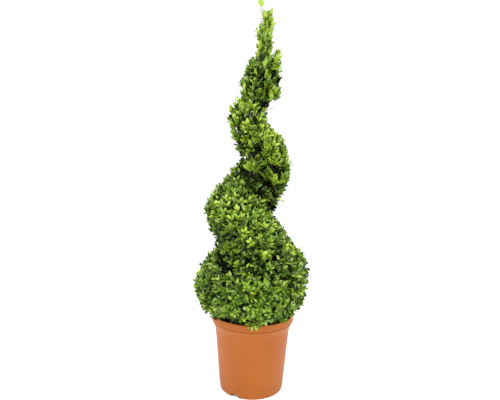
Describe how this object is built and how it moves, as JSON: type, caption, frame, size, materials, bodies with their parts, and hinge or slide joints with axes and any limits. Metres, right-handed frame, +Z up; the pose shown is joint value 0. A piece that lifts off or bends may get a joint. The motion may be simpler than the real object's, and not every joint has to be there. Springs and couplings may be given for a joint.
{
  "type": "spiral topiary",
  "caption": "Evergreen shrub with small leaves, clipped as a ball that rises into a spiral round one trunk, in a round plastic nursery pot.",
  "frame": {"origin": "centre of the pot's flat underside, on the ground", "axes": "+Z up along the plant's height, -Y towards the front, +X to the right seen from the front"},
  "size_m": [0.3807, 0.375, 1.2866],
  "materials": {
    "pot_plastic": "satin terracotta-coloured moulded plastic",
    "soil": "dark moist potting compost",
    "bark": "rough grey-brown bark",
    "foliage": "small glossy evergreen leaves"
  },
  "bodies": {
    "root": {"pot": "pot_plastic", "soil": "soil", "trunk": "bark", "bough_ball_front_right": "bark", "bough_ball_front_left": "bark", "bough_ball_back_left": "bark", "bough_ball_back_right": "bark", "bough_turn1_front_right": "bark", "bough_turn1_front_left": "bark", "bough_turn1_back_left": "bark", "bough_turn1_back_right": "bark", "bough_turn2_front": "bark", "bough_turn2_left": "bark", "bough_turn2_back": "bark", "mass_ball_front_right": "foliage", "mass_ball_front_left": "foliage", "mass_ball_back_left": "foliage", "mass_ball_back_right": "foliage", "mass_turn1_front_right": "foliage", "mass_turn1_front_left": "foliage", "mass_turn1_back_left": "foliage", "mass_turn1_back_right": "foliage", "mass_turn2_front": "foliage", "mass_turn2_left": "foliage", "mass_turn2_back": "foliage", "mass_turn3_front": "foliage", "mass_turn3_left": "foliage", "mass_tip": "foliage"}
  },
  "joints": []
}
